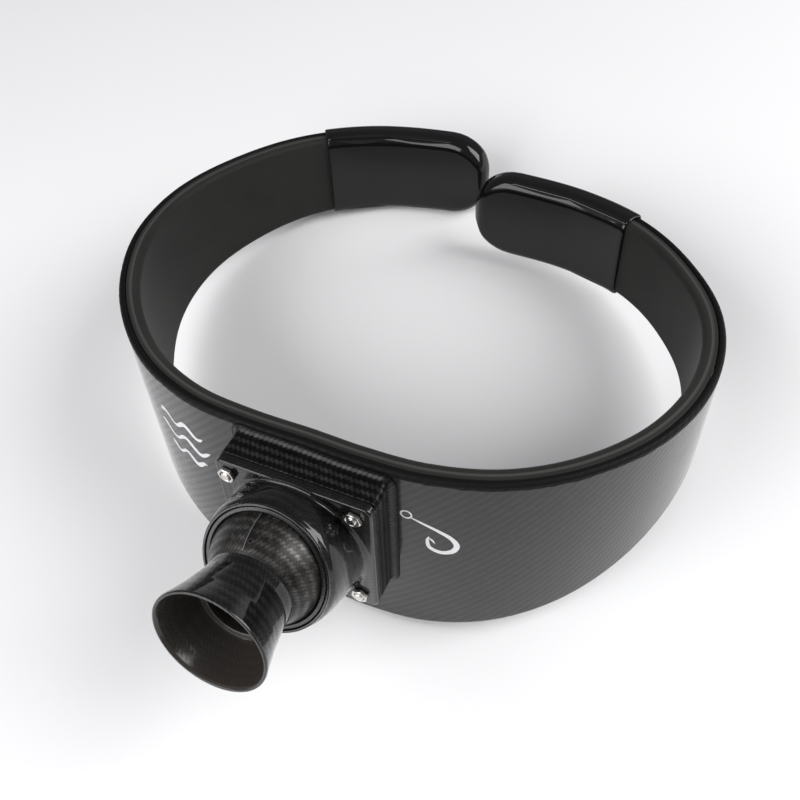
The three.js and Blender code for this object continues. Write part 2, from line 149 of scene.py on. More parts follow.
def depth(turn):
    """Height of the band at turns from the front."""
    turn = np.asarray(turn, float)
    return np.where(turn < 0, left_depth(turn), right_depth(turn))


# a little past both ends
FINE_TURNS = np.linspace(-184, 184, 7361)
FINE_RUN = np.r_[0, np.cumsum(np.linalg.norm(np.diff(outside(FINE_TURNS), axis=0), axis=1))]
FINE_RUN -= np.interp(0, FINE_TURNS, FINE_RUN)


def run_at(turn):
    """Length along the hoop's outside from the middle of the front."""
    return float(np.interp(turn, FINE_TURNS, FINE_RUN))


def turn_at(run):
    """Turn from the front at a length along the hoop's outside."""
    return np.interp(run, FINE_RUN, FINE_TURNS)


def on_hoop(run, inset, height):
    """Points in the belt's frame, set in square to the hoop's outside."""
    turn = turn_at(run)
    along = outside(turn + 0.5) - outside(turn - 0.5)
    along /= np.linalg.norm(along, axis=-1, keepdims=True)
    at = outside(turn)
    return np.stack([at[..., 0] - along[..., 1] * inset, at[..., 1] + along[..., 0] * inset,
                     height + 0 * inset], -1)


FRONT = -float(outside(0)[1])
PLATE_BACK = FRONT + PAD_DEPTH
PLATE_FRONT = PLATE_BACK + PLATE_THICK
PLATE_BELOW = PAD_BELOW + PAD_FILLET + PLATE_HALF
BALL_AT = np.array([ACROSS, -PLATE_FRONT - BALL_AHEAD * cos(radians(SOCKET_TILT)),
                    -PLATE_BELOW + BALL_AHEAD * sin(radians(SOCKET_TILT))])

# The belt lies on its apron's lower edge and its ends: the joint of the socket tells where.
socket_joint = {joint["name"]: joint for joint in frame["joints"]}["socket_turn"]
REST = atan2(socket_joint["axis"][2], -socket_joint["axis"][1]) - radians(SOCKET_TILT)
LAID = np.array([[1, 0, 0], [0, cos(REST), sin(REST)], [0, -sin(REST), cos(REST)]])
SHIFT = np.array(socket_joint["pos_m"]) * 1000 - LAID @ BALL_AT


def laid(points):
    """From the belt's own frame in millimetres to its place at rest in metres."""
    return (np.asarray(points, float) @ LAID.T + SHIFT) / 1000


# Mesh making

def closed_mesh(name, points, faces, uvs=None, weld=False):
    """A mesh from points in metres, its faces turned outwards."""
    mesh = bpy.data.meshes.new(name)
    mesh.from_pydata([tuple(point) for point in points], [], faces)
    if uvs is not None:
        layer = mesh.uv_layers.new(name="UVMap")
        layer.data.foreach_set("uv", np.asarray(uvs, np.float32).ravel())
    bm = bmesh.new()
    bm.from_mesh(mesh)
    if weld:
        bmesh.ops.remove_doubles(bm, verts=bm.verts, dist=1e-6)
    if bm.calc_volume(signed=True) < 0:
        bmesh.ops.reverse_faces(bm, faces=bm.faces)
    bm.to_mesh(mesh)
    bm.free()
    return mesh


def linked(name, data):
    """An object in the scene, at the origin."""
    obj = bpy.data.objects.new(name, data)
    scene.collection.objects.link(obj)
    return obj


def make_object(name, points, faces, uvs=None, weld=False):
    """A smooth closed piece from points in the belt's frame."""
    mesh = closed_mesh(name, laid(points), faces, uvs, weld)
    mesh.shade_smooth()
    return linked(name, mesh)


def skin(name, rings, u, v, closed=False, weld=False):
    """Rings of points joined into a skin. u and v have one column more than the rings."""
    n, m = rings.shape[:2]
    i, j = np.meshgrid(np.arange(n if closed else n - 1), np.arange(m), indexing="ij")
    i, j = i.ravel(), j.ravel()
    i2, j2 = (i + 1) % n, (j + 1) % m
    faces = np.stack([i * m + j, i2 * m + j, i2 * m + j2, i * m + j2], 1).tolist()
    # where a closed skin meets its first ring, the map stays on the last one
    far = np.minimum(i + 1, n - 1)
    corners = [(i, j), (far, j), (far, j + 1), (i, j + 1)]
    uvs = np.stack([np.stack([u[row, column], v[row, column]], -1) for row, column in corners], 1)
    uvs = uvs.reshape(-1, 2)
    if not closed:
        first, last = list(range(m)), list(range((n - 1) * m, n * m))
        faces += [first, last[::-1]]
        ends = [(u[0, k], v[0, k]) for k in range(m)]
        ends += [(u[-1, k], v[-1, k]) for k in reversed(range(m))]
        uvs = np.r_[uvs, ends]
    return make_object(name, rings.reshape(-1, 3), faces, uvs, weld)


# Where the sides of a section have extra points, as shares of each side
ALONG_SIDES = (0.015, 0.1, 0.3, 0.5, 0.7, 0.9, 0.985)
ACROSS_SIDES = (0.12, 0.5, 0.88)


def round_section(left, right, low, high, rounds, steps, across=ACROSS_SIDES):
    """Insets and heights of a rounded section at each station, from its top outer corner on."""
    left, right, low, high = np.broadcast_arrays(*(np.asarray(a, float) for a in (left, right, low, high)))
    r = [np.broadcast_to(np.asarray(a, float), left.shape) for a in rounds]
    corner = [(left + r[0], low + r[0], r[0], 180), (right - r[1], low + r[1], r[1], 270),
              (right - r[2], high - r[2], r[2], 0), (left + r[3], high - r[3], r[3], 90)]
    x, z = [], []
    for k, (centre_x, centre_z, radius, start) in enumerate(corner):
        for step in range(steps + 1):
            turn = radians(start + 90 * step / steps)
            x.append(centre_x + radius * cos(turn))
            z.append(centre_z + radius * sin(turn))
        next_x, next_z, next_radius, next_start = corner[(k + 1) % 4]
        from_x, from_z = x[-1], z[-1]
        side_x = next_x + next_radius * cos(radians(next_start)) - from_x
        side_z = next_z + next_radius * sin(radians(next_start)) - from_z
        for share in (across if k % 2 == 0 else ALONG_SIDES):
            x.append(from_x + side_x * share)
            z.append(from_z + side_z * share)
    x, z = np.stack(x, -1), np.stack(z, -1)
    start = 3 * (steps + 1) + 2 * len(across) + len(ALONG_SIDES)
    return np.roll(x, -start, -1), np.roll(z, -start, -1)


def around(x, z):
    """Length round each section, one column more than its points."""
    step = np.hypot(np.diff(x, axis=-1, append=x[..., :1]), np.diff(z, axis=-1, append=z[..., :1]))
    return np.concatenate([np.zeros(x.shape[:-1] + (1,)), np.cumsum(step, -1)], -1)


def swept(name, run, x, z):
    """A skin along the hoop, from the insets and heights of its section at each station."""
    run = run[:, None]
    rings = on_hoop(np.repeat(run, x.shape[1], 1), x, z)
    u = np.repeat(run, x.shape[1] + 1, 1)
    return skin(name, rings, u / 1000, around(x, z) / 1000)


# A rounding is held by one more point on each side that is long enough
HOLD_OFF, HOLD_ROOM = 0.35, 1.2


def eased(corners, steps):
    """A profile of (radius, along, rounding) corners with the roundings drawn and held."""
    out = []
    for k, (radius, along, ease) in enumerate(corners):
        here = np.array([radius, along], float)
        if not ease:
            out.append(here)
            continue
        before = np.array(corners[k - 1][:2], float) - here
        after = np.array(corners[(k + 1) % len(corners)][:2], float) - here
        long_before, long_after = np.linalg.norm(before), np.linalg.norm(after)
        a, b = before / long_before, after / long_after
        half = acos(max(-1, min(1, float(a @ b)))) / 2
        reach = min(ease / max(1e-6, np.tan(half)), 0.49 * long_before, 0.49 * long_after)
        bend = reach * np.tan(half)
        centre = here + (a + b) / np.linalg.norm(a + b) * bend / sin(half)
        p, q = here + a * reach, here + b * reach
        t0, t1 = atan2(*(p - centre)[::-1]), atan2(*(q - centre)[::-1])
        turn = (t1 - t0 + pi) % (2 * pi) - pi
        if long_before > reach + HOLD_ROOM:
            out.append(p + a * HOLD_OFF)
        out += [centre + bend * np.array([cos(t0 + turn * i / steps), sin(t0 + turn * i / steps)])
                for i in range(steps + 1)]
        if long_after > reach + HOLD_ROOM:
            out.append(q + b * HOLD_OFF)
    return np.array(out)


def ball_arc(radius, start, end, count):
    """Profile points on a ball, between two angles from its axis."""
    return [(radius * sin(angle), radius * cos(angle), 0) for angle in np.linspace(start, end, count)]


def axes_at(tilt):
    """Axis, across and up of a round piece that points tilt degrees up from the front."""
    t = radians(tilt)
    return np.array([0, -cos(t), sin(t)]), np.array([1.0, 0, 0]), np.array([0, sin(t), cos(t)])


def turned(name, profile, tilt, sides, wide, closed=True):
    """A round piece about the ball's middle. wide is the length that the cloth takes round it."""
    axis, across, up = axes_at(tilt)
    angle = np.linspace(0, 2 * pi, sides + 1)
    ring = np.cos(angle)[:, None] * up + np.sin(angle)[:, None] * across
    radius, along = profile[:, 0], profile[:, 1]
    rings = BALL_AT + along[:, None, None] * axis + radius[:, None, None] * ring[None, :-1]
    length = np.r_[0, np.cumsum(np.hypot(*np.diff(profile, axis=0).T))]
    u = np.repeat((angle / (2 * pi) * wide)[None], len(profile), 0)
    v = np.repeat(length[:, None], sides + 1, 1)
    return skin(name, rings, u / 1000, v / 1000, closed=closed, weld=True)


# Finishes

class Finish:
    """A material and short ways to add its nodes."""

    def __init__(self, name):
        self.material = bpy.data.materials.new(name)
        self.material.use_nodes = True
        self.tree = self.material.node_tree
        self.tree.nodes.clear()
        self.shader = self.add("ShaderNodeBsdfPrincipled")
        out = self.add("ShaderNodeOutputMaterial")
        self.link(self.shader.outputs[0], out.inputs[0])

    def add(self, kind, **settings):
        node = self.tree.nodes.new(kind)
        for key, value in settings.items():
            setattr(node, key, value)
        return node

    def link(self, a, b):
        self.tree.links.new(a, b)

    def math(self, operation, a, b=None, c=None):
        node = self.add("ShaderNodeMath", operation=operation)
        for socket, value in zip(node.inputs, (a, b, c)):
            if isinstance(value, (int, float)):
                socket.default_value = value
            elif value is not None:
                self.link(value, socket)
        return node.outputs[0]

    def vector(self, operation, a, b, output):
        node = self.add("ShaderNodeVectorMath", operation=operation)
        self.link(a, node.inputs[0])
        node.inputs[1].default_value = b
        return node.outputs[output]

    def mix(self, share, a, b):
        node = self.add("ShaderNodeMix", data_type="RGBA")
        for socket, value in ((node.inputs[0], share), (node.inputs[6], a), (node.inputs[7], b)):
            if isinstance(value, tuple):
                socket.default_value = (*value, 1)
            else:
                self.link(value, socket)
        return node.outputs[2]

    def multiply(self, a, b):
        node = self.add("ShaderNodeMix", data_type="RGBA", blend_type="MULTIPLY")
        node.inputs[0].default_value = 1
        self.link(a, node.inputs[6])
        self.link(b, node.inputs[7])
        return node.outputs[2]

    def noise(self, vector, scale, detail, roughness=0.5):
        node = self.add("ShaderNodeTexNoise")
        node.inputs["Scale"].default_value = scale
        node.inputs["Detail"].default_value = detail
        node.inputs["Roughness"].default_value = roughness
        self.link(vector, node.inputs["Vector"])
        return node.outputs["Fac"]

    def spread(self, value, low, high, to_low, to_high):
        node = self.add("ShaderNodeMapRange")
        self.link(value, node.inputs[0])
        for socket, number in zip(node.inputs[1:5], (low, high, to_low, to_high)):
            socket.default_value = number
        return node.outputs[0]

    def bump(self, height, distance, strength, onto=None):
        node = self.add("ShaderNodeBump")
        node.inputs["Distance"].default_value = distance
        node.inputs["Strength"].default_value = strength
        self.link(height, node.inputs["Height"])
        if onto is not None:
            self.link(onto, node.inputs["Normal"])
        return node.outputs[0]

    def place(self, which="Object"):
        return self.add("ShaderNodeTexCoord").outputs[which]

    def attribute(self, name):
        return self.add("ShaderNodeAttribute", attribute_name=name).outputs["Fac"]

    def set(self, **values):
        for key, value in values.items():
            socket = self.shader.inputs[key.replace("_", " ")]
            if hasattr(value, "is_output"):
                self.link(value, socket)
            else:
                socket.default_value = value


def weave(f, tow, angle):
    """2x2 twill from the piece's own UV map, in metres: returns (height, share of warp)."""
    turned_map = f.add("ShaderNodeMapping")
    turned_map.inputs["Rotation"].default_value = (0, 0, radians(angle))
    turned_map.inputs["Scale"].default_value = (1 / tow, 1 / tow, 1)
    f.link(f.place("UV"), turned_map.inputs["Vector"])
    split = f.add("ShaderNodeSeparateXYZ")
    f.link(turned_map.outputs[0], split.inputs[0])
    x, y = split.outputs[0], split.outputs[1]
    column, row = f.math("FLOOR", x), f.math("FLOOR", y)
    in_column, in_row = f.math("SUBTRACT", x, column), f.math("SUBTRACT", y, row)
    step = f.math("FLOORED_MODULO", f.math("SUBTRACT", column, row), TWILL)
    warp = f.math("LESS_THAN", step, 1.5)
    along_warp = f.math("MULTIPLY", f.math("ADD", f.math("SUBTRACT", 1, step), in_row), 0.5)
    along_weft = f.math("MULTIPLY", f.math("ADD", f.math("SUBTRACT", step, 2), in_column), 0.5)

    def hump(share, power):
        wave = f.math("SINE", f.math("MULTIPLY", share, pi))
        return f.math("POWER", f.math("MAXIMUM", wave, 0.0), power)

    def tow_height(across, along):
        lift = f.math("MULTIPLY_ADD", hump(along, 0.6), 0.5, 0.5)
        return f.math("MULTIPLY", hump(across, 0.35), lift)

    high_warp = f.math("MULTIPLY", warp, tow_height(in_column, along_warp))
    high_weft = f.math("MULTIPLY", f.math("SUBTRACT", 1, warp), tow_height(in_row, along_weft))
    return f.math("ADD", high_warp, high_weft), warp


def inner_wall(f, tone, coat_rough):
    """The inside of the cup, lightened towards brown-grey as a painted reflection of the light, and rougher
    than its outside.
    """
    inside = f.attribute("inside")
    rougher = f.spread(f.noise(f.place(), 420, 3), 0.35, 0.65, 0.02, 0.2)
    # painted reflection: the inside lightened towards brown-grey
    tone = f.mix(f.math("MULTIPLY", inside, 0.5), tone, (0.085, 0.074, 0.066))
    return tone, f.math("ADD", coat_rough, f.math("MULTIPLY", inside, rougher))


def painted_dark_rim(f, tone, rough, coat):
    """A matt black band painted along the rim as a painted dark reflection of the rounded top edge, its
    lower border a little uneven.
    """
    uneven = f.spread(f.noise(f.place(), 120, 3), 0.3, 0.7, -0.0005, 0.0005)
    # painted dark reflection: the band just under the rim
    rim_shade = f.spread(f.math("ADD", f.attribute("below_rim"), uneven), 0.0034, 0.0038, 1, 0)
    tone = f.mix(rim_shade, tone, (0.007, 0.007, 0.0072))
    rough = f.math("MULTIPLY_ADD", rim_shade, 0.2, rough)
    return tone, rough, f.math("MULTIPLY", f.math("SUBTRACT", 1.0, rim_shade), coat)


def seam_and_pin(f, tone, coat_normal, seam):
    """A fine moulding line painted as a light highlight with painted shade on one side, and a small sunk pin
    painted dark as shade with a painted highlight round its rim.
    """
    away = f.vector("SUBTRACT", f.place(), seam["centre"], 0)
    near = f.math("GREATER_THAN", f.vector("DOT_PRODUCT", away, seam["along"], "Value"), seam["reach"])
    side = f.vector("DOT_PRODUCT", away, seam["across"], "Value")
    # painted highlight along the seam's step
    line = f.math("MULTIPLY", near, f.spread(f.math("ABSOLUTE", side), 0.00012, 0.00026, 1, 0))
    # painted shade on the far side of the step
    shade = f.math("MULTIPLY", f.spread(side, 0.0, 0.005, 0.92, 0), f.math("GREATER_THAN", side, 0.0))
    tone = f.mix(f.math("MULTIPLY", near, shade), tone, (0.003, 0.003, 0.003))
    tone = f.mix(line, tone, (0.16, 0.16, 0.16))
    from_pin = f.vector("DISTANCE", f.place(), seam["pin"], "Value")
    # painted shade in the pin's hole, and a painted highlight round its rim
    hole = f.spread(from_pin, 0.0007, 0.0009, 1, 0)
    edge = f.math("MULTIPLY", f.spread(from_pin, 0.0009, 0.0013, 1, 0), f.math("SUBTRACT", 1.0, hole))
    tone = f.mix(hole, f.mix(edge, tone, (0.06, 0.06, 0.06)), (0.002, 0.002, 0.002))
    return tone, f.bump(f.math("MAXIMUM", line, hole), -0.0002, 1.0, coat_normal)


def carbon(name, tow, angle, light, dark, coat_wave, mottle=0.3, coat=1.0, relief=0.00012, gloss=0.025,
           metal=0.35, base_gloss=0.12, lens=1.5, lined=False, rim=False, seam=None):
    """Twill carbon cloth under a clear gloss that is slightly wavy. Lengths are in metres."""
    f = Finish(name)
    height, warp = weave(f, tow, angle)
    patch = f.spread(f.noise(f.place(), 30 + 500 * mottle, 3), 0.3, 0.7, 1 - mottle, 1 + mottle)
    # the twill pattern is real; its lighter warp and darker weft are painted sheen standing in for the tows'
    # different reflections
    tone = f.multiply(f.mix(warp, dark, light), patch)
    # painted shade: tone darkened where the tows sink between each other
    tone = f.multiply(tone, f.spread(height, 0.2, 1, 0.35, 1))
    rough = f.spread(warp, 0, 1, 0.42, 0.3)
    coat_normal = f.bump(f.noise(f.place(), 90, 1), coat_wave, 0.6)
    coat_rough = f.spread(f.noise(f.place(), 260, 3), 0.3, 0.7, gloss, gloss * 1.5)
    if lined:
        tone, coat_rough = inner_wall(f, tone, coat_rough)
    # the rim's black band is a painted dark reflection
    if rim:
        tone, rough, coat = painted_dark_rim(f, tone, rough, coat)
    if seam:
        tone, coat_normal = seam_and_pin(f, tone, coat_normal, seam)
    f.set(Base_Color=tone, Roughness=rough, Metallic=metal, Normal=f.bump(height, relief, 0.8),
          Coat_Weight=coat, Coat_Roughness=coat_rough, Coat_IOR=lens, Coat_Normal=coat_normal,
          Specular_IOR_Level=base_gloss)
    return f.material


# The ball's moulding line and pin: directions and places of the belt at rest, in metres
BALL_SEAM = {
    "centre": tuple(float(value) for value in laid(BALL_AT)),
    "across": (0.9902, 0.0573, 0.1274),
    "along": (-0.13, 0.22, 0.97),
    "reach": 0.0262,
    "pin": (0.0051, -0.13129, 0.13074),
}

shell_carbon = carbon("fine twill carbon", 0.0014, 90, light=(0.014, 0.014, 0.0144),
                      dark=(0.0065, 0.0065, 0.0067), coat_wave=0.0002, relief=0.00005, lens=1.37, rim=True)
pad_carbon = carbon("dull twill carbon", 0.0018, 45, light=(0.03, 0.03, 0.0315),
                    dark=(0.006, 0.006, 0.0064), coat_wave=0.0004, mottle=0.5, coat=0.12, gloss=0.12,
                    base_gloss=0.06)
housing_carbon = carbon("black moulded carbon", TOW / 1000, 45, light=(0.012, 0.012, 0.0124),
                        dark=(0.005, 0.005, 0.0052), coat_wave=0.0002, mottle=0.5, lens=1.44)
cup_carbon = carbon("cup twill carbon", TOW / 1000, 45, light=(0.02, 0.0192, 0.0188),
                    dark=(0.006, 0.0058, 0.0058), coat_wave=0.0001, mottle=0.5, lens=1.38, lined=True)
ball_carbon = carbon("ball twill carbon", TOW / 1000, 45, light=(0.062, 0.057, 0.053),
                     dark=(0.026, 0.0245, 0.0232), coat_wave=0.0006, mottle=0.7, coat=0.35,
                     relief=0.00006, gloss=0.28, metal=0.4, seam=BALL_SEAM)


def foam_finish():
    f = Finish("matt foam")
    cells = f.noise(f.place(), 1400, 2, 0.7)
    wear = f.noise(f.place(), 22, 4, 0.6)
    tone = f.mix(f.spread(wear, 0.35, 0.75, 0, 1), (0.008, 0.0083, 0.0072), (0.015, 0.0152, 0.0128))
    tone = f.mix(f.attribute("layer_line"), tone, (0.05, 0.05, 0.046))
    f.set(Base_Color=tone, Roughness=f.spread(cells, 0.3, 0.7, 0.62, 0.8), Specular_IOR_Level=0.3,
          Normal=f.bump(cells, 0.00015, 0.5), Sheen_Weight=0.1, Sheen_Roughness=0.45)
    return f.material


def dipped_finish():
    f = Finish("dipped gloss")
    flow = f.noise(f.place(), 38, 2)
    f.set(Base_Color=f.mix(f.noise(f.place(), 60, 2), (0.004, 0.004, 0.0045), (0.007, 0.007, 0.0075)),
          Roughness=f.spread(flow, 0.3, 0.7, 0.06, 0.1), Specular_IOR_Level=0.4,
          Normal=f.bump(flow, 0.0006, 0.25))
    return f.material


def satin_finish():
    f = Finish("satin ring plastic")
    grain = f.noise(f.place(), 900, 2)
    f.set(Base_Color=f.mix(grain, (0.012, 0.012, 0.013), (0.02, 0.02, 0.021)),
          Roughness=f.spread(grain, 0.3, 0.7, 0.22, 0.34), Normal=f.bump(grain, 0.00005, 0.3))
    return f.material


def steel_finish():
    f = Finish("stainless steel")
    grain = f.noise(f.place(), 2600, 3)
    f.set(Base_Color=f.mix(grain, (0.55, 0.53, 0.5), (0.78, 0.76, 0.73)), Metallic=1.0,
          Roughness=f.spread(grain, 0.3, 0.7, 0.16, 0.3), Normal=f.bump(grain, 0.00006, 0.5))
    return f.material


def silver_finish():
    f = Finish("silver print")
    grain = f.noise(f.place(), 700, 3)
    f.set(Base_Color=f.mix(grain, (0.62, 0.62, 0.63), (0.82, 0.82, 0.83)), Metallic=0.25,
          Roughness=f.spread(grain, 0.3, 0.7, 0.3, 0.42), Coat_Weight=0.6, Coat_Roughness=0.05)
    return f.material


foam = foam_finish()
dipped = dipped_finish()
satin = satin_finish()
steel = steel_finish()
silver = silver_finish()


def finished(obj, material, body, slot, *nodes):
    """Gives a piece its finish and its body, and hides the CAD nodes that it stands for. The slot is not
    used.
    """
    obj.data.materials.clear()
    obj.data.materials.append(material)
    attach(obj, body)
    if nodes:
        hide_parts(*nodes)
    return obj


# Shell and liner

BAND_ROUND = TIP_ROUND - BAND_SHORT
BAND_FROM, BAND_TO = run_at(LEFT_END) + BAND_SHORT, run_at(RIGHT_END) - BAND_SHORT
LINER_FACE = SHELL_WALL + SEAT_GAP
INNER_FACE = LINER_FACE + LINER_WALL


def end_share(past, size):
    """Share of the full height or thickness at a length past a rounded tip."""
    inside = np.clip(1 - past / size, 0, 1)
    return TIP_BLUNT + (1 - TIP_BLUNT) * np.sqrt(1 - inside**2)


near_tip = BAND_ROUND * np.array([0, 0.02, 0.06, 0.13, 0.25, 0.4, 0.6, 0.8, 1])
band_run = np.r_[BAND_FROM + near_tip,
                 np.linspace(BAND_FROM + BAND_ROUND, BAND_TO - BAND_ROUND, 440)[1:-1],
                 BAND_TO - near_tip[::-1]]
band_middle = -depth(turn_at(band_run)) / 2
band_half = -band_middle * end_share(np.minimum(band_run - BAND_FROM, BAND_TO - band_run), BAND_ROUND)
band_fit = np.minimum(1, band_half / ROUND_ROOM)


def shell_piece():
    """The carbon band, with each point's height below the rim for the painted dark band along the rim."""
    rounds = [radius * band_fit for radius in SHELL_ROUNDS]
    x, z = round_section(0, SHELL_WALL, band_middle - band_half, band_middle + band_half, rounds, 7)
    shell = swept("shell_skin", band_run, x, z)
    below = shell.data.attributes.new("below_rim", "FLOAT", "POINT")
    below.data.foreach_set("value", ((z.max(1, keepdims=True) - z) / 1000).astype(np.float32).ravel())
    return shell


def liner_piece():
    """The foam lining, with two fine steps along its top that show its layers."""
    half = band_half - LINER_RECESS
    rounds = [radius * band_fit for radius in LINER_ROUNDS]
    x, z = round_section(LINER_FACE, INNER_FACE, band_middle - half, band_middle + half, rounds, 8,
                         across=(0.06, 0.16, 0.2, 0.24, 0.42, 0.46, 0.5, 0.9))
    on_line = [np.abs(x - (LINER_FACE + line)) < LAYER_WIDE / 2 for line in LAYER_LINES]
    groove = np.any(on_line, axis=0) & (np.abs(z - z.max(1, keepdims=True)) < 1e-6)
    liner = swept("foam_liner", band_run, x, z - LAYER_DEEP * groove)
    lines = liner.data.attributes.new("layer_line", "FLOAT", "POINT")
    lines.data.foreach_set("value", groove.astype(np.float32).ravel())
    return liner


finished(shell_piece(), shell_carbon, "belt", "carbon", "shell")
liner = finished(liner_piece(), foam, "belt", "foam", "liner")


# End sleeves

def sleeve_outside(tip, inwards, length):
    """Stations and sections of a sleeve's outside, from its rounded tip to its mouth."""
    near = TIP_ROUND * np.array([0, 0.004, 0.016, 0.035, 0.06, 0.1, 0.15, 0.22, 0.3, 0.4, 0.52, 0.66,
                                 0.82, 1])
    past = np.r_[near, np.linspace(TIP_ROUND, length - 1.0, 52)[1:], length - 0.5, length - 0.15, length]
    bead = np.r_[np.zeros(len(past) - len(SLEEVE_BEAD)), SLEEVE_BEAD]
    run = tip + inwards * past
    band = depth(turn_at(run)) / 2
    half_high = (band + SLEEVE_WALL) * end_share(past, TIP_ROUND) - bead
    half_thick = (INNER_FACE / 2 + SLEEVE_WALL) * end_share(past, TIP_THIN) - bead
    soft = np.minimum(SLEEVE_ROUND, np.minimum(0.85 * half_thick, 0.92 * half_high))
    soft_top = np.minimum(SLEEVE_TOP_ROUND, np.minimum(1.05 * half_thick, 0.92 * half_high))
    centre = INNER_FACE / 2
    x, z = round_section(centre - half_thick, centre + half_thick, -band - half_high,
                         -band + half_high, (soft * 0.8, soft, soft_top, soft * 0.8), 9)
    # both faces swell a little towards their middle
    crown = 0.5 * (1 - np.clip(np.abs(z + band[:, None]) / half_high[:, None], 0, 1)**2)
    x = centre + (x - centre) * (1 + crown * np.minimum(1, past / 20)[:, None] / 7)
    return run, x, z


def sleeve_pocket(tip, inwards, length):
    """Stations and sections of the pocket that the band sits in, from the mouth to its closed end."""
    past = np.array([length, length - 3, length * 0.6, BAND_SHORT + BAND_ROUND, BAND_SHORT + 8,
                     BAND_SHORT - SEAT_GAP])
    run = tip + inwards * past
    band = depth(turn_at(run)) / 2
    half_high = band * end_share(np.maximum(past - BAND_SHORT, 0), BAND_ROUND) + SEAT_GAP
    rounds = (POCKET_ROUND * np.minimum(1, half_high / ROUND_ROOM),) * 4
    x, z = round_section(-SEAT_GAP, INNER_FACE + SEAT_GAP, -band - half_high, -band + half_high, rounds, 9)
    return run, x, z


def end_sleeve(name, tip_turn, mouth_turn, node):
    """A dipped sleeve over one end of the band, closed at its tip."""
    tip, mouth = run_at(tip_turn), run_at(mouth_turn)
    inwards = 1 if mouth > tip else -1
    outer = sleeve_outside(tip, inwards, abs(mouth - tip))
    pocket = sleeve_pocket(tip, inwards, abs(mouth - tip))
    run, x, z = (np.concatenate(pair) for pair in zip(outer, pocket))
    finished(swept(name, run, x, z), dipped, "belt", "dipped_rubber", node)


end_sleeve("left_end_dip", LEFT_END, LEFT_SLEEVE, "end_sleeve_left")
end_sleeve("right_end_dip", RIGHT_END, RIGHT_SLEEVE, "end_sleeve_right")


# Pad, plate and socket

def rolled_in_plane(across, up):
    """Places on the plate, turned with it by the small roll that the photograph shows."""
    a = radians(PLATE_ROLL)
    return np.stack([across * cos(a) - up * sin(a), across * sin(a) + up * cos(a)], 1)


def square_outline(half, corner, count):
    """Points walked evenly round a rounded square from the middle of its right side, and its girth."""
    flat = half - corner
    path = [(half, 0)]
    for x, z, start in ((flat, flat, 0), (-flat, flat, 90), (-flat, -flat, 180), (flat, -flat, 270)):
        turns = [radians(start + 90 * k / 24) for k in range(25)]
        path += [(x + corner * cos(turn), z + corner * sin(turn)) for turn in turns]
    path = np.array(path + path[:1])
    length = np.r_[0, np.cumsum(np.hypot(*np.diff(path, axis=0).T))]
    at = np.linspace(0, length[-1], count, endpoint=False)
    across, up = np.interp(at, length, path[:, 0]), np.interp(at, length, path[:, 1])
    return rolled_in_plane(across, up), length[-1]


def pad_piece():
    """The raised pad: a straight block as wide as the plate, with a hollow fillet at the shell."""
    count = 480
    hoop = outside(np.linspace(-60, 60, 481))
    front = -(PLATE_BACK - SEAT_GAP)
    # share of the way from the front to the fillet, turn round the fillet, and growth of the outline
    rows = [(0, 0, -0.6), (0, 0, -0.2)]
    rows += [(share, 0, 0) for share in (0.012, 0.03, 0.25, 0.5, 0.75, 0.97)]
    rows += [(1, turn, 0) for turn in np.radians(np.linspace(0, 84, 12))]
    rings, u, v = [], [], []
    for share, turn, grow in rows:
        grow = grow + PAD_FILLET * (1 - cos(turn))
        outline, girth = square_outline(PLATE_HALF + grow, PLATE_CORNER + grow, count)
        across = outline[:, 0] + ACROSS
        fillet_from = np.interp(across, hoop[:, 0], hoop[:, 1]) - SEAT_GAP - PAD_FILLET
        back = front + share * (fillet_from - front) + PAD_FILLET * sin(turn)
        rings.append(np.stack([across, back, outline[:, 1] - PLATE_BELOW], 1))
        u.append(np.linspace(0, girth, count + 1))
        v.append(np.full(count + 1, share * (PAD_DEPTH - PAD_FILLET) + turn * PAD_FILLET))
    return skin("raised_pad", np.array(rings), np.array(u) / 1000, np.array(v) / 1000)


finished(pad_piece(), pad_carbon, "belt", "carbon", "mount_pad")

HOUSING_SIDES = 384
LIP_RADIUS = MOUTH_RADIUS - 0.1
LIP_BACK = MOUTH_FRONT - LIP_BAND
housing_angle = np.linspace(0, 2 * pi, HOUSING_SIDES, endpoint=False)
socket_axis, socket_across, socket_up = axes_at(SOCKET_TILT)
socket_circle = (np.cos(housing_angle)[:, None] * socket_across
                 + np.sin(housing_angle)[:, None] * socket_up)


def plate_ring(half, corner, ahead):
    """The plate's outline at a length ahead of the belt's middle, its points at even angles."""
    points, _ = square_outline(half, corner, 4000)
    polar = np.arctan2(points[:, 1], points[:, 0])
    order = np.argsort(polar)
    polar, points = polar[order], points[order]
    want = (housing_angle + pi) % (2 * pi) - pi
    across = np.interp(want, polar, points[:, 0], period=2 * pi)
    up = np.interp(want, polar, points[:, 1], period=2 * pi)
    return np.stack([across + ACROSS, np.full(HOUSING_SIDES, -ahead), up - PLATE_BELOW], 1)


def plate_rings():
    """The plate from its back to its front, with both edges rounded."""
    rings = []
    for turn in np.linspace(0, pi / 2, 4):
        rings.append(plate_ring(PLATE_HALF - PLATE_BACK_ROUND * (1 - sin(turn)), PLATE_CORNER,
                                PLATE_BACK + PLATE_BACK_ROUND * (1 - cos(turn))))
    for ahead in (PLATE_BACK + 1.2, PLATE_FRONT - PLATE_BEVEL - 0.5):
        rings.append(plate_ring(PLATE_HALF, PLATE_CORNER, ahead))
    for turn in np.linspace(0, pi / 2, 6):
        inwards = PLATE_BEVEL * (1 - cos(turn))
        rings.append(plate_ring(PLATE_HALF - inwards, PLATE_CORNER - inwards / 2,
                                PLATE_FRONT - PLATE_BEVEL * (1 - sin(turn))))
    rings.append(plate_ring(PLATE_HALF - PLATE_BEVEL - 0.5, PLATE_CORNER - PLATE_BEVEL / 2, PLATE_FRONT))
    return rings


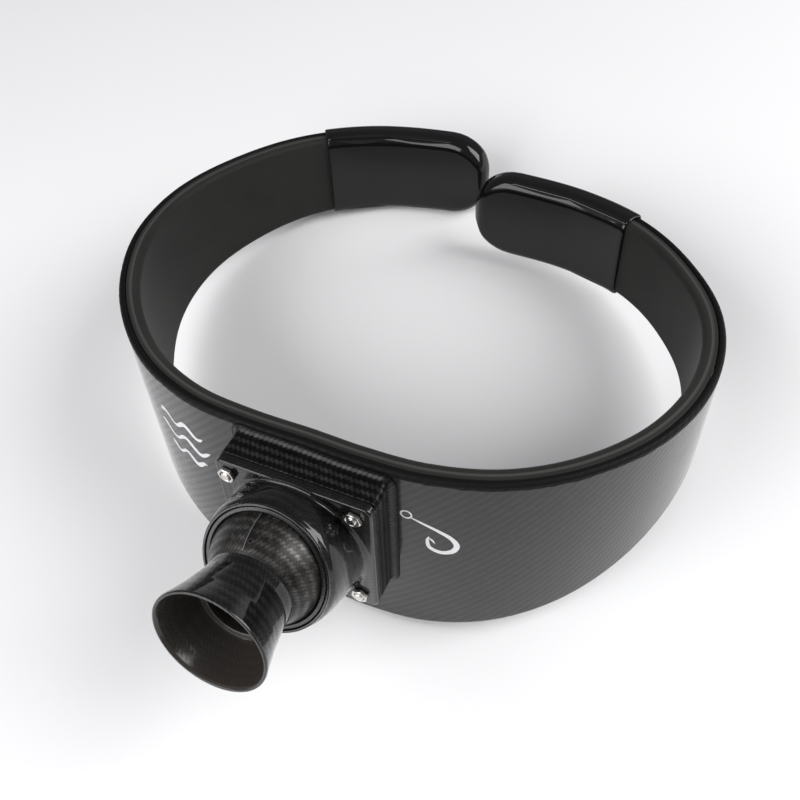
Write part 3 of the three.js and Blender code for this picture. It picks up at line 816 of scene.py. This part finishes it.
def socket_ring(radius, along):
    """A ring round the socket's axis, at lengths along it from the ball's middle."""
    return BALL_AT + np.reshape(along, (-1, 1)) * socket_axis + np.reshape(radius, (-1, 1)) * socket_circle


def plate_reach(radius):
    """Lengths along the socket's axis, from the ball's middle, at which a ring meets the plate's front."""
    return (-PLATE_FRONT - socket_ring(radius, 0)[:, 1]) / socket_axis[1]


def dome_radius(along):
    """Radius of the socket's dome at lengths along its axis from the ball's middle."""
    share = np.clip((along - MOUTH_FRONT + DOME_LENGTH) / (DOME_LENGTH - LIP_BAND), 0, 1)
    return LIP_RADIUS + (DOME_RADIUS - LIP_RADIUS) * np.sqrt(1 - share**2.4)


def dome_rings(edge):
    """The fillet on the plate, joined to the plate's edge, and the dome up to its lip."""
    foot = dome_radius(plate_reach(DOME_RADIUS) + SOCKET_FILLET)
    base = socket_ring(foot + SOCKET_FILLET, plate_reach(foot + SOCKET_FILLET))
    rings = [edge + (base - edge) * share for share in (0.2, 0.5, 0.8, 0.96)]
    for turn in np.linspace(0, pi / 2, 9):
        radius = foot + SOCKET_FILLET * (1 - sin(turn))
        rings.append(socket_ring(radius, plate_reach(radius) + SOCKET_FILLET * (1 - cos(turn))))
    foot_at = (rings[-1] - BALL_AT) @ socket_axis
    for k in range(1, 22):
        along = foot_at + (LIP_BACK - foot_at) * k / 21
        rings.append(socket_ring(dome_radius(along), along))
    return rings


def mouth_rings():
    """The lip, the seat ring's room and the seat behind the ball, cut off at the plate's back."""
    ledge = -RING_BACK - SEAT_GAP
    room = RING_OUTSIDE + SEAT_GAP
    lip = eased([(LIP_RADIUS, LIP_BACK, 0), (LIP_RADIUS - 0.15, MOUTH_FRONT - 1.7, 0.2),
                 (LIP_RADIUS + 0.4, MOUTH_FRONT - 1.35, 0.4), (LIP_RADIUS + 0.4, MOUTH_FRONT, 1.0),
                 (room, MOUTH_FRONT, 0.5), (room, ledge, 0.2), (28.1, ledge, 0)], 5)[1:-1]
    rings = [socket_ring(radius, along) for radius, along in lip]
    for turn in np.linspace(acos(ledge / SEAT_RADIUS), pi, 16):
        ring = socket_ring(SEAT_RADIUS * sin(turn), SEAT_RADIUS * cos(turn))
        ring[:, 1] = np.minimum(ring[:, 1], -PLATE_BACK - 0.8)
        rings.append(ring)
    return rings


def housing_piece():
    """The square plate and its tilted round socket as one moulding."""
    plate = plate_rings()
    rings = np.array(plate + dome_rings(plate[-1]) + mouth_rings())
    steps = np.linalg.norm(np.diff(rings, axis=0), axis=2)
    length = np.concatenate([np.zeros((1, HOUSING_SIDES)), np.cumsum(steps, 0)])
    v = np.concatenate([length, length[:, :1]], 1)
    u = np.repeat(np.linspace(0, 36 * TWILL * TOW, HOUSING_SIDES + 1)[None], len(rings), 0)
    return skin("plate_and_socket", rings, u / 1000, v / 1000, weld=True)


finished(housing_piece(), housing_carbon, "belt", "carbon_dark", "socket_housing")


# Seat ring, ball and cup

def seat_ring_piece():
    """The ring in the socket's mouth, hollowed to the seat's radius."""
    profile = [(RING_OUTSIDE, RING_FRONT, 0.4), (RING_OUTSIDE, -RING_BACK, 0.4)]
    profile += ball_arc(SEAT_RADIUS, acos(-RING_BACK / SEAT_RADIUS),
                        acos((RING_FRONT - 0.5) / SEAT_RADIUS), 24)
    profile += [(28.8, RING_FRONT, 0.2)]
    return turned("socket_seat_ring", eased(profile, 5), SOCKET_TILT, sides=160, wide=200)


def ball_piece():
    """The ball, with its bore for the rod's end."""
    bore = CUP_BORE - 0.5
    profile = [(0, BORE_FLOOR, 0), (bore, BORE_FLOOR, 0.3)]
    profile += ball_arc(BALL_RADIUS, np.arcsin(bore / BALL_RADIUS), pi, 72)
    return turned("cup_ball", eased(profile, 4), CUP_PITCH, sides=144, wide=28 * TWILL * TOW, closed=False)


def cup_piece():
    """The flared cup on the ball, with its inner side marked for a rougher finish and a painted reflection.
    """
    seat = BALL_RADIUS + SEAT_GAP
    end, ledge, mouth = CUP_LENGTH, CUP_LEDGE, CUP_MOUTH
    profile = ball_arc(seat, np.arcsin(CUP_BORE / seat), np.arcsin(CUP_NECK / seat) - 0.02, 10)
    profile += [(CUP_NECK, 20.0, 0.5), (CUP_NECK, 25.5, 3), (24.1, 38.8, 13), (mouth - 0.4, end - 2.4, 2),
                (mouth, end - 1.0, 0.6), (mouth - 0.15, end, 0.5), (mouth - 1.4, end, 0.6),
                (mouth - 2.1, end - 1.4, 1.0), (19.7, ledge + 0.6, 0.8), (19.3, ledge, 0.2),
                (17.2, ledge, 0.4), (16.8, ledge + 0.95, 0.5), (CUP_BORE, ledge + 0.95, 0.5)]
    cup = turned("flared_rod_cup", eased(profile, 6), CUP_PITCH, sides=160, wide=24 * TWILL * TOW)
    axis = LAID @ axes_at(CUP_PITCH)[0]
    places = np.empty(len(cup.data.vertices) * 3, np.float32)
    cup.data.vertices.foreach_get("co", places)
    away = (places.reshape(-1, 3) - laid(BALL_AT)) * 1000
    along = away @ axis
    radius = np.linalg.norm(away - along[:, None] * axis, axis=1)
    # radii half way through the wall, at four lengths from the ball's middle
    wall = np.interp(along, [20, 26, 39, 50], [19, 19.6, 22.6, 26.0])
    inside = cup.data.attributes.new("inside", "FLOAT", "POINT")
    inside.data.foreach_set("value", (radius < wall).astype(np.float32))
    return cup


finished(seat_ring_piece(), satin, "seat_ring_body", "ring_plastic", "seat_ring")
finished(ball_piece(), ball_carbon, "cup_body", "carbon_dark", "ball")
finished(cup_piece(), cup_carbon, "cup_body", "carbon_dark", "rod_cup")


# Nuts and studs at the plate's corners

def ring_mesh(name, outline, sides, closed):
    """A small piece round the +Z axis, from (radius, level) in millimetres for each of its rings."""
    angle = np.linspace(0, 2 * pi, sides, endpoint=False)
    rings = [np.stack([radius * np.cos(angle), radius * np.sin(angle), level + 0 * angle], 1)
             for radius, level in outline]
    n = len(rings)
    faces = [(i * sides + j, (i + 1) % n * sides + j, (i + 1) % n * sides + (j + 1) % sides,
              i * sides + (j + 1) % sides)
             for i in range(n if closed else n - 1) for j in range(sides)]
    if not closed:
        faces += [list(range(sides))[::-1], list(range((n - 1) * sides, n * sides))]
    return closed_mesh(name, np.concatenate(rings) / 1000, faces)


def hexagon_nut():
    """One chamfered nut, standing on height 0."""
    sides = 72
    angle = np.linspace(0, 2 * pi, sides, endpoint=False)
    inscribed = NUT_FLATS / 2
    hexagon = inscribed / np.cos((angle + pi / 6) % (pi / 3) - pi / 6)
    chamfer = hexagon - inscribed
    outline = [(2.75, 0.3), (3.0, 0.0), (hexagon - 0.25, 0.0), (hexagon, 0.3),
               (hexagon, NUT_TALL - 0.2 - chamfer * 0.75), (hexagon - 0.12, NUT_TALL - chamfer * 0.6 - 0.05),
               (inscribed * 0.96, NUT_TALL), (3.15, NUT_TALL), (2.75, NUT_TALL - 0.35)]
    return ring_mesh("nut", outline, sides, True)


def stud_end():
    """The stud in a nut, from inside the pad to its domed end."""
    outline = [(2.3, -9.0), (STUD_RADIUS, -8.8)]
    for level in (1.2, 1.5, 1.8, 2.1):
        outline += [(STUD_RADIUS, level), (THREAD_ROOT, level + 0.15)]
    outline += [(2.25, 2.5), (1.9, 2.72), (1.2, 2.8)]
    return ring_mesh("stud", outline, 40, False)


def corner_tree(name, material):
    """Geometry nodes that set a small piece at the four corners of a square."""
    tree = bpy.data.node_groups.new(name + " at corners", "GeometryNodeTree")
    face = tree.interface
    face.new_socket("Geometry", in_out="OUTPUT", socket_type="NodeSocketGeometry")
    face.new_socket("Geometry", in_out="INPUT", socket_type="NodeSocketGeometry")
    spacing = face.new_socket("Spacing", in_out="INPUT", socket_type="NodeSocketFloat")
    turn = face.new_socket("Turn between pieces", in_out="INPUT", socket_type="NodeSocketFloat")
    make, link = tree.nodes.new, tree.links.new
    entry, leave = make("NodeGroupInput"), make("NodeGroupOutput")
    grid = make("GeometryNodeMeshGrid")
    grid.inputs["Vertices X"].default_value = 2
    grid.inputs["Vertices Y"].default_value = 2
    link(entry.outputs["Spacing"], grid.inputs["Size X"])
    link(entry.outputs["Spacing"], grid.inputs["Size Y"])
    index = make("GeometryNodeInputIndex")
    twist = make("ShaderNodeMath")
    twist.operation = "MULTIPLY"
    link(index.outputs[0], twist.inputs[0])
    link(entry.outputs["Turn between pieces"], twist.inputs[1])
    joined = make("ShaderNodeCombineXYZ")
    link(twist.outputs[0], joined.inputs[2])
    copies = make("GeometryNodeInstanceOnPoints")
    link(grid.outputs["Mesh"], copies.inputs["Points"])
    link(entry.outputs["Geometry"], copies.inputs["Instance"])
    link(joined.outputs[0], copies.inputs["Rotation"])
    real = make("GeometryNodeRealizeInstances")
    link(copies.outputs[0], real.inputs[0])
    look = make("GeometryNodeSetMaterial")
    look.inputs["Material"].default_value = material
    link(real.outputs[0], look.inputs["Geometry"])
    link(look.outputs[0], leave.inputs[0])
    return tree, spacing.identifier, turn.identifier


def stand_on_plate(mesh):
    """Stands a flat pattern on the plate's front: its +Z is the belt's -Y."""
    places = np.empty(len(mesh.vertices) * 3, np.float32)
    mesh.vertices.foreach_get("co", places)
    across, up, out = places.reshape(-1, 3).T * 1000
    flat = rolled_in_plane(across + NUTS_ASIDE, up)
    stood = np.stack([flat[:, 0] + ACROSS, -(out + PLATE_FRONT + SEAT_GAP), flat[:, 1] - PLATE_BELOW], 1)
    mesh.vertices.foreach_set("co", laid(stood).astype(np.float32).ravel())
    mesh.update()


def at_corners(name, mesh, material, spin):
    """One small piece set at the plate's corners by geometry nodes and made a plain mesh."""
    tree, spacing, turn = corner_tree(name, material)
    maker = linked(name + " maker", mesh)
    nodes = maker.modifiers.new("corners", "NODES")
    nodes.node_group = tree
    nodes[spacing] = 2 * STUD_OUT / 1000
    nodes[turn] = spin
    bpy.context.view_layer.update()
    graph = bpy.context.evaluated_depsgraph_get()
    plain = bpy.data.meshes.new_from_object(maker.evaluated_get(graph), depsgraph=graph)
    maker.modifiers.remove(nodes)
    bpy.data.objects.remove(maker)
    stand_on_plate(plain)
    return linked(name, plain)


corner_names = ("upper_left", "upper_right", "lower_left", "lower_right")
nuts = at_corners("corner_nuts", hexagon_nut(), steel, 0.45)
finished(nuts, steel, "belt", "stainless", *("nut_" + corner for corner in corner_names))
studs = at_corners("corner_studs", stud_end(), steel, 0.0)
finished(studs, steel, "belt", "stainless", *("stud_" + corner for corner in corner_names))


# Silver motifs on the shell

PRINT_TOP, PRINT_BACK = 0.13, 0.02
HOOK_TURN, HOOK_HEIGHT, HOOK_SIZE = 31.8, -42, 13
HOOK_SHAPE = [(-1.0, 0.95), (-0.55, 0.72), (0.0, 0.42), (0.5, 0.05), (0.72, -0.38), (0.55, -0.78),
              (0.12, -0.92), (-0.28, -0.7), (-0.36, -0.28), (-0.3, -0.02)]
HOOK_WIDTHS = [0.7, 1.4, 1.9, 2.4, 2.9, 3.0, 2.6, 2.1, 1.6, 0.3]
BARB_SHAPE = [(-0.31, -0.1), (-0.18, -0.24), (-0.08, -0.42)]
BARB_WIDTHS = [0.5, 1.3, 0.2]
EYE_ACROSS, EYE_UP, EYE_RADIUS, EYE_WIDTH = -1.12, 1.05, 0.2, 0.9
WAVE_TURN, WAVE_HEIGHT, WAVE_STEP = -35.5, -29, 12
WAVE_SIZES = [(17, 2.6), (20, 3.0), (15, 2.4)]


def ribbon(points, widths, pieces=80):
    """A smooth flat band in the shell's own measure: rows of (run, height) left and right."""
    points = np.array(points, float)
    place = np.linspace(0, len(points) - 1, pieces)
    x, z = (smooth_between(column, np.gradient(column), place) for column in points.T)
    wide = np.interp(place, np.arange(len(points)), widths)
    along_x, along_z = np.gradient(x), np.gradient(z)
    centre = np.stack([x, z], 1)
    aside = np.stack([-along_z, along_x], 1) * (wide / np.hypot(along_x, along_z) / 2)[:, None]
    return centre + aside, centre - aside


def motif(name, ribbons):
    """Thin silver bands that lie on the shell, each closed round."""
    points, faces = [], []
    for left, right in ribbons:
        first = len(points)
        last = first + 4 * (len(left) - 1)
        for a, b in zip(left, right):
            for (run, height), out in ((a, PRINT_TOP), (b, PRINT_TOP), (b, PRINT_BACK), (a, PRINT_BACK)):
                points.append(on_hoop(np.array(run), np.array(-out), np.array(height)))
        for i in range(first, last, 4):
            faces += [(i + j, i + (j + 1) % 4, i + 4 + (j + 1) % 4, i + 4 + j) for j in range(4)]
        faces += [(first + 3, first + 2, first + 1, first), (last, last + 1, last + 2, last + 3)]
    obj = make_object(name, np.array(points), faces)
    obj.data.shade_flat()
    return finished(obj, silver, "belt", "carbon")


def on_hook(shape):
    """Points of the hook's shape, given as shares of its size, on the shell."""
    return [(run_at(HOOK_TURN) + HOOK_SIZE * a, HOOK_HEIGHT + HOOK_SIZE * b) for a, b in shape]


eye = [(EYE_ACROSS + EYE_RADIUS * cos(a), EYE_UP + EYE_RADIUS * sin(a))
       for a in np.linspace(0.2, 2 * pi + 0.2, 14)]
motif("silver_hook", [ribbon(on_hook(HOOK_SHAPE), HOOK_WIDTHS),
                      ribbon(on_hook(eye), [EYE_WIDTH] * len(eye)),
                      ribbon(on_hook(BARB_SHAPE), BARB_WIDTHS, 12)])

waves = []
for row, (wide, tall) in enumerate(WAVE_SIZES):
    line = [(run_at(WAVE_TURN) + s * wide, WAVE_HEIGHT - WAVE_STEP * row + tall * sin(2 * pi * s + row))
            for s in np.linspace(-1, 1, 17)]
    widths = [0.3] + [2.6 + 0.8 * sin(4 * s) for s in np.linspace(-1, 1, 15)] + [0.3]
    waves.append(ribbon(line, widths))
motif("silver_waves", waves)


# Floor, light and camera

def floor_finish():
    f = Finish("pale floor")
    grain = f.noise(f.place(), 6, 2)
    f.set(Base_Color=f.mix(grain, (0.86, 0.86, 0.865), (0.88, 0.88, 0.885)), Roughness=0.9,
          Specular_IOR_Level=0.1)
    return f.material


mesh = bpy.data.meshes.new("floor")
mesh.from_pydata([(-6, -6, 0), (6, -6, 0), (6, 6, 0), (-6, 6, 0)], [], [(0, 1, 2, 3)])
mesh.materials.append(floor_finish())
linked("floor", mesh)


def softbox(name, at, aim, size, watts):
    """A rectangle of light that faces a point."""
    light = bpy.data.lights.new(name, "AREA")
    light.shape = "RECTANGLE"
    light.size, light.size_y = size
    light.energy = watts
    facing = (Vector(aim) - Vector(at)).to_track_quat("-Z", "Y").to_matrix().to_4x4()
    linked(name, light).matrix_world = Matrix.Translation(at) @ facing


softbox("tall box at the right", (1.22, 0.5, 1.05), (0, -0.05, 0.1), (0.9, 1.25), 24)
softbox("large box at the front left", (-0.62, -1.05, 1.2), (0, 0, 0.1), (1.6, 1.1), 24)
softbox("low box in front", (-0.75, -2.0, 0.35), (0, 0, 0.1), (1.6, 0.7), 12)

world = bpy.data.worlds.new("studio")
world.use_nodes = True
surround = world.node_tree.nodes["Background"]
surround.inputs["Color"].default_value = (0.95, 0.95, 1.0, 1)
surround.inputs["Strength"].default_value = 0.2
scene.world = world
scene.view_settings.view_transform = "Standard"

# The camera as it stands to the belt in the photograph
CAMERA_TURN, CAMERA_UP, CAMERA_ROLL = radians(25.814), radians(46.642), radians(-2.902)
CAMERA_FAR, CAMERA_SIDE, CAMERA_DOWN, CAMERA_FOCAL = 466.70, -0.478, -58.095, 871.70
PICTURE_SIDE, SENSOR = 800, 36
right = np.array([cos(CAMERA_TURN), sin(CAMERA_TURN), 0])
back = np.array([sin(CAMERA_TURN) * cos(CAMERA_UP), -cos(CAMERA_TURN) * cos(CAMERA_UP), sin(CAMERA_UP)])
above = np.cross(back, right)
spot = CAMERA_FAR * back + CAMERA_SIDE * right + CAMERA_DOWN * above
rolled = [right * cos(CAMERA_ROLL) + above * sin(CAMERA_ROLL),
          above * cos(CAMERA_ROLL) - right * sin(CAMERA_ROLL), back]
columns = [LAID @ direction for direction in rolled] + [laid(spot)]
camera = linked("camera", bpy.data.cameras.new("camera"))
camera.data.sensor_width = SENSOR
camera.data.lens = CAMERA_FOCAL / PICTURE_SIDE * SENSOR
camera.matrix_world = Matrix([[float(column[k]) for column in columns] for k in range(3)] + [[0, 0, 0, 1]])
scene.camera = camera
